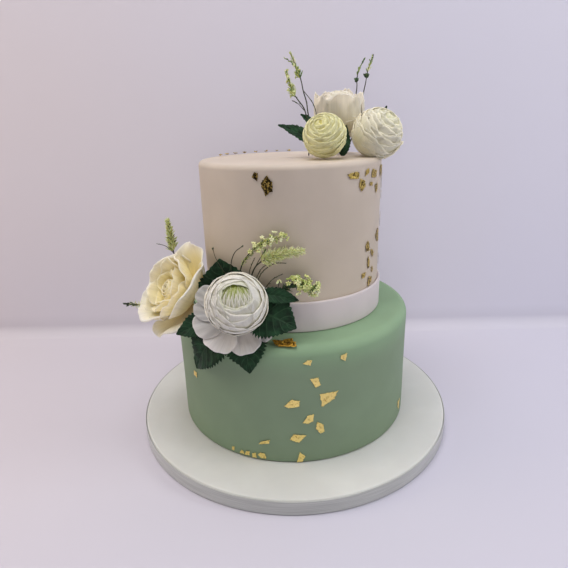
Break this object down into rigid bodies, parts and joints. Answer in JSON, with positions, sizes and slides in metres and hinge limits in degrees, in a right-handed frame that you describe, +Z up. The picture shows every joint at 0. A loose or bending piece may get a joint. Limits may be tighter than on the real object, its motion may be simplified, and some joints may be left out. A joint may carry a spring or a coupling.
{
  "type": "tiered wedding cake",
  "caption": "Round tiered wedding cake in rolled icing, standing on its iced board, with a ribbon round the board, torn gold leaf and sprays of cloth flowers on its top and front ledge.",
  "frame": {"origin": "middle of the board's underside, on the surface the cake stands on", "axes": "+Z up; -Y towards the viewer, the side with the flowers on the ledge; +X to the viewer's right"},
  "size_m": [0.2844, 0.2844, 0.3192],
  "materials": {
    "white_icing": "matte rolled icing",
    "green_icing": "matte sage green rolled icing",
    "ribbon": "silver grey satin",
    "white_cloth": "soft white cloth petals",
    "cream_cloth": "cream and yellow cloth petals",
    "yellow_cloth": "pale yellow cloth petals",
    "leaf": "dark green printed cloth leaf",
    "stem": "green plastic over wire",
    "sprig": "yellow green buds on thin wired stems"
  },
  "bodies": {
    "root": {"board": "white_icing", "board_ribbon": "ribbon", "lower_tier": "green_icing", "upper_tier": "white_icing", "upper_band": "white_icing", "front_white_head": "white_cloth", "front_white_petal_1": "white_cloth", "front_white_petal_2": "white_cloth", "front_white_petal_3": "white_cloth", "front_white_petal_4": "white_cloth", "front_white_petal_5": "white_cloth", "front_white_petal_6": "white_cloth", "front_white_petal_7": "white_cloth", "front_white_petal_8": "white_cloth", "rose_heart": "cream_cloth", "rose_inner_petal_1": "cream_cloth", "rose_inner_petal_2": "cream_cloth", "rose_inner_petal_3": "cream_cloth", "rose_inner_petal_4": "cream_cloth", "rose_outer_petal_1": "cream_cloth", "rose_outer_petal_2": "cream_cloth", "rose_outer_petal_3": "cream_cloth", "rose_outer_petal_4": "cream_cloth", "rose_outer_petal_5": "cream_cloth", "top_yellow_head": "yellow_cloth", "top_yellow_petal_1": "yellow_cloth", "top_yellow_petal_2": "yellow_cloth", "top_yellow_petal_3": "yellow_cloth", "top_white_head": "white_cloth", "top_white_petal_1": "white_cloth", "top_white_petal_2": "white_cloth", "top_white_petal_3": "white_cloth", "top_white_petal_4": "white_cloth", "top_rear_head": "white_cloth", "top_rear_petal_1": "white_cloth", "top_rear_petal_2": "white_cloth", "top_rear_petal_3": "white_cloth", "top_rear_petal_4": "white_cloth", "front_white_stem": "stem", "rose_stem": "stem", "top_rear_stem": "stem", "front_sprig_1": "sprig", "front_sprig_2": "sprig", "front_sprig_3": "sprig", "left_sprig": "sprig", "left_bud": "sprig", "top_sprig_1": "sprig", "top_sprig_2": "sprig", "top_sprig_3": "sprig", "top_sprig_4": "sprig", "front_leaf_1": "leaf", "front_leaf_2": "leaf", "front_leaf_3": "leaf", "front_leaf_4": "leaf", "front_leaf_5": "leaf", "front_leaf_6": "leaf", "top_leaf_1": "leaf", "top_leaf_2": "leaf", "top_leaf_3": "leaf", "top_leaf_4": "leaf"}
  },
  "joints": []
}
